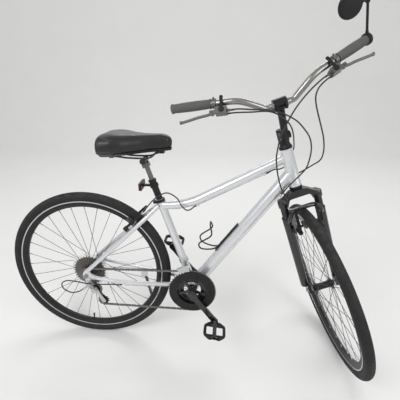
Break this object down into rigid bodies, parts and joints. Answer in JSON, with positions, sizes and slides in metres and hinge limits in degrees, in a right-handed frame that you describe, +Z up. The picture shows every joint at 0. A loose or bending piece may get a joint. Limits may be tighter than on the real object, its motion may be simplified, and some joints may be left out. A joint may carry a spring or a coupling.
{
  "type": "comfort hybrid bicycle",
  "caption": "Upright city bicycle with a bent top tube, sprung fork, wide saddle on a sprung post, rim brakes, geared chain drive, bar-end mirror and side stand.",
  "frame": {"origin": "centre of the bounding box on the ground, with the bicycle leaning on its side stand", "axes": "+X towards the front end of the frame, +Y to the rider's left, +Z up; the bars are turned far to the right as in the picture"},
  "size_m": [1.4664, 0.6912, 1.3634],
  "materials": {
    "silver_paint": "satin",
    "black_paint": "gloss",
    "silver_alloy": "brushed",
    "black_alloy": "anodised",
    "steel": "worn",
    "tyre": "matte",
    "grip_rubber": "matte",
    "cable_cover": "satin",
    "black_plastic": "matte",
    "saddle_cover": "satin",
    "clear_plastic": "clear",
    "red_lens": "gloss"
  },
  "bodies": {
    "frame": {"frame": "silver_paint", "seat_clamp": "black_alloy", "bottle_cage": "black_plastic", "bottom_bracket": "black_alloy", "rear_axle": "steel", "chain": "steel", "front_derailleur": "silver_alloy", "rear_derailleur_body": "silver_alloy", "rear_derailleur_cage": "silver_alloy", "rear_brake_cable": "cable_cover", "rear_shift_cable": "cable_cover", "front_shift_cable": "cable_cover"},
    "rear_wheel": {"rear_tyre": "tyre", "rear_rim": "black_alloy", "rear_hub_spokes": "steel", "spoke_protector": "clear_plastic"},
    "cassette": {"cassette": "steel"},
    "upper_pulley": {"upper_pulley": "black_plastic"},
    "lower_pulley": {"lower_pulley": "black_plastic"},
    "cranks": {"crank_right": "black_paint", "crank_left": "black_paint", "outer_chainring": "steel", "inner_chainrings": "steel", "chain_guard": "black_plastic"},
    "pedal_right": {"pedal_right": "black_plastic"},
    "pedal_left": {"pedal_left": "black_plastic"},
    "rear_quick_release": {"rear_quick_release": "black_alloy"},
    "rear_brake_arm_right": {"rear_brake_arm_right": "black_alloy"},
    "rear_brake_arm_left": {"rear_brake_arm_left": "black_alloy"},
    "kickstand": {"kickstand_leg": "black_alloy"},
    "seatpost": {"seatpost_outer": "black_alloy", "rear_reflector": "red_lens"},
    "seatpost_plunger": {"seatpost_inner": "black_alloy"},
    "saddle": {"saddle": "saddle_cover", "saddle_base": "black_plastic", "saddle_rails": "steel"},
    "steering": {"fork_crown": "black_paint", "headset_cover": "black_plastic", "stem_clamp": "black_alloy", "front_brake_cable": "cable_cover"},
    "fork_lowers": {"fork_lowers": "black_paint", "front_axle": "steel"},
    "front_wheel": {"front_tyre": "tyre", "front_rim": "black_alloy", "front_hub_spokes": "steel"},
    "front_quick_release": {"front_quick_release": "black_alloy"},
    "front_brake_arm_right": {"front_brake_arm_right": "black_alloy"},
    "front_brake_arm_left": {"front_brake_arm_left": "black_alloy"},
    "handlebar": {"stem_arm": "black_alloy", "handlebar": "silver_alloy", "grip_right": "grip_rubber", "grip_left": "grip_rubber", "brake_control_right": "black_plastic", "brake_control_left": "black_plastic"},
    "brake_lever_right": {"brake_lever_right": "black_alloy"},
    "brake_lever_left": {"brake_lever_left": "black_alloy"},
    "shift_lever_right": {"shift_lever_right": "black_plastic"},
    "shift_lever_left": {"shift_lever_left": "black_plastic"},
    "mirror_arm": {"mirror_arm": "black_plastic"},
    "mirror_head": {"mirror_head": "black_plastic"}
  },
  "joints": [
    {"name": "rear_wheel_spin", "type": "hinge", "parent": "frame", "child": "rear_wheel", "pos_m": [-0.38317, 0.04332, 0.34938], "axis": [-0.0004, 0.9981, -0.061], "continuous": true},
    {"name": "crank_spin", "type": "hinge", "parent": "frame", "child": "cranks", "pos_m": [0.06344, 0.0395, 0.28429], "axis": [-0.0004, 0.9981, -0.061], "continuous": true},
    {"name": "cassette_spin", "type": "hinge", "parent": "frame", "child": "cassette", "pos_m": [-0.38317, 0.04332, 0.34938], "axis": [-0.0004, 0.9981, -0.061], "continuous": true},
    {"name": "upper_pulley_spin", "type": "hinge", "parent": "frame", "child": "upper_pulley", "pos_m": [-0.35361, 0.03886, 0.27634], "axis": [-0.0004, 0.9981, -0.061], "continuous": true},
    {"name": "lower_pulley_spin", "type": "hinge", "parent": "frame", "child": "lower_pulley", "pos_m": [-0.32496, 0.03538, 0.21927], "axis": [-0.0004, 0.9981, -0.061], "continuous": true},
    {"name": "pedal_right_spin", "type": "hinge", "parent": "cranks", "child": "pedal_right", "pos_m": [0.16253, 0.03111, 0.14641], "axis": [-0.0004, 0.9981, -0.061], "continuous": true},
    {"name": "pedal_left_spin", "type": "hinge", "parent": "cranks", "child": "pedal_left", "pos_m": [-0.03565, 0.0479, 0.42217], "axis": [-0.0004, 0.9981, -0.061], "continuous": true},
    {"name": "kickstand_fold", "type": "hinge", "parent": "frame", "child": "kickstand", "pos_m": [-0.16862, 0.10492, 0.27418], "axis": [-0.2202, 0.9669, 0.1292], "range_deg": [0, 86.4]},
    {"name": "seatpost_height", "type": "slide", "parent": "frame", "child": "seatpost", "axis": [-0.3099, 0.0579, 0.949], "range_m": [-0.03, 0.045]},
    {"name": "seatpost_travel", "type": "slide", "parent": "seatpost", "child": "seatpost_plunger", "axis": [0.3099, -0.0579, -0.949], "range_m": [0, 0.04], "stiffness_N_per_m": 6000, "springref_m": -0.02},
    {"name": "saddle_tilt", "type": "hinge", "parent": "seatpost_plunger", "child": "saddle", "pos_m": [-0.11599, 0.07304, 0.83376], "axis": [-0.0004, 0.9981, -0.061], "range_deg": [-12, 12]},
    {"name": "rear_quick_release_turn", "type": "hinge", "parent": "frame", "child": "rear_quick_release", "pos_m": [-0.3832, 0.12507, 0.34438], "axis": [1, 0, -0.0061], "range_deg": [0, 90]},
    {"name": "rear_brake_arm_right_swing", "type": "hinge", "parent": "frame", "child": "rear_brake_arm_right", "pos_m": [-0.20527, 0.01665, 0.56748], "axis": [-0.6732, 0.0449, 0.7381], "range_deg": [0, 3.6], "deforming": ["rear_brake_cable"]},
    {"name": "rear_brake_arm_left_swing", "type": "hinge", "parent": "frame", "child": "rear_brake_arm_left", "pos_m": [-0.2053, 0.0965, 0.5626], "axis": [0.6732, -0.0449, -0.7381], "range_deg": [0, 3.6], "deforming": ["rear_brake_cable"]},
    {"name": "steering", "type": "hinge", "parent": "frame", "child": "steering", "pos_m": [0.59603, 0.04246, 0.32947], "axis": [-0.3198, 0.0577, 0.9457], "range_deg": [-2, 166], "deforming": ["rear_brake_cable", "rear_shift_cable", "front_shift_cable", "front_brake_cable"]},
    {"name": "fork_travel", "type": "slide", "parent": "steering", "child": "fork_lowers", "axis": [-0.3198, 0.0577, 0.9457], "range_m": [0, 0.04], "stiffness_N_per_m": 6000, "springref_m": -0.02, "deforming": ["front_brake_cable"]},
    {"name": "front_wheel_spin", "type": "hinge", "parent": "fork_lowers", "child": "front_wheel", "pos_m": [0.60122, 0, 0.33382], "axis": [0.9397, 0.1465, 0.3089], "continuous": true},
    {"name": "front_quick_release_turn", "type": "hinge", "parent": "fork_lowers", "child": "front_quick_release", "pos_m": [0.66832, 0.01046, 0.35587], "axis": [0.1208, -0.9875, 0.1011], "range_deg": [0, 90]},
    {"name": "front_brake_arm_right_swing", "type": "hinge", "parent": "fork_lowers", "child": "front_brake_arm_right", "pos_m": [0.47806, -0.01842, 0.58777], "axis": [-0.1208, 0.9875, -0.1011], "range_deg": [0, 3.6], "deforming": ["front_brake_cable"]},
    {"name": "front_brake_arm_left_swing", "type": "hinge", "parent": "fork_lowers", "child": "front_brake_arm_left", "pos_m": [0.55324, -0.0067, 0.61248], "axis": [0.1208, -0.9875, 0.1011], "range_deg": [0, 3.6], "deforming": ["front_brake_cable"]},
    {"name": "stem_angle", "type": "hinge", "parent": "steering", "child": "handlebar", "pos_m": [0.3955, 0.04534, 0.93821], "axis": [0.9397, 0.1465, 0.3089], "range_deg": [0, 60], "deforming": ["rear_brake_cable", "rear_shift_cable", "front_shift_cable", "front_brake_cable"]},
    {"name": "brake_lever_right_pull", "type": "hinge", "parent": "handlebar", "child": "brake_lever_right", "pos_m": [0.14576, -0.01424, 1.02125], "axis": [0.2236, 0.7781, -0.587], "range_deg": [0, 16], "stiffness_Nm_per_rad": 2, "springref_deg": -5.73, "deforming": ["rear_brake_cable"]},
    {"name": "shift_lever_right_push", "type": "hinge", "parent": "handlebar", "child": "shift_lever_right", "pos_m": [0.17342, -0.02857, 1.03902], "axis": [0.2236, 0.7781, -0.587], "range_deg": [0, 20], "stiffness_Nm_per_rad": 0.5, "springref_deg": -5.73},
    {"name": "brake_lever_left_pull", "type": "hinge", "parent": "handlebar", "child": "brake_lever_left", "pos_m": [0.55506, 0.04958, 1.15577], "axis": [0.0448, -0.7362, 0.6753], "range_deg": [0, 16], "stiffness_Nm_per_rad": 2, "springref_deg": -5.73, "deforming": ["front_brake_cable"]},
    {"name": "shift_lever_left_push", "type": "hinge", "parent": "handlebar", "child": "shift_lever_left", "pos_m": [0.52749, 0.02664, 1.1554], "axis": [0.0448, -0.7362, 0.6753], "range_deg": [0, 20], "stiffness_Nm_per_rad": 0.5, "springref_deg": -5.73},
    {"name": "mirror_swivel", "type": "hinge", "parent": "handlebar", "child": "mirror_arm", "pos_m": [0.64528, 0.13037, 1.23786], "axis": [0.7868, 0.4425, 0.4302], "range_deg": [-40, 40]},
    {"name": "mirror_turn", "type": "hinge", "parent": "mirror_arm", "child": "mirror_head", "pos_m": [0.61086, 0.09829, 1.33353], "axis": [-0.2631, -0.2669, 0.9271], "range_deg": [-30, 30]}
  ],
  "couplings": [
    {"joint": "cassette_spin", "follows": "crank_spin", "ratio": 3.6923},
    {"joint": "lower_pulley_spin", "follows": "crank_spin", "ratio": 4.3636},
    {"joint": "upper_pulley_spin", "follows": "crank_spin", "ratio": -4.3636},
    {"joint": "front_brake_arm_right_swing", "follows": "brake_lever_left_pull", "ratio": 0.225},
    {"joint": "front_brake_arm_left_swing", "follows": "brake_lever_left_pull", "ratio": 0.225},
    {"joint": "rear_brake_arm_right_swing", "follows": "brake_lever_right_pull", "ratio": 0.225},
    {"joint": "rear_brake_arm_left_swing", "follows": "brake_lever_right_pull", "ratio": 0.225}
  ]
}
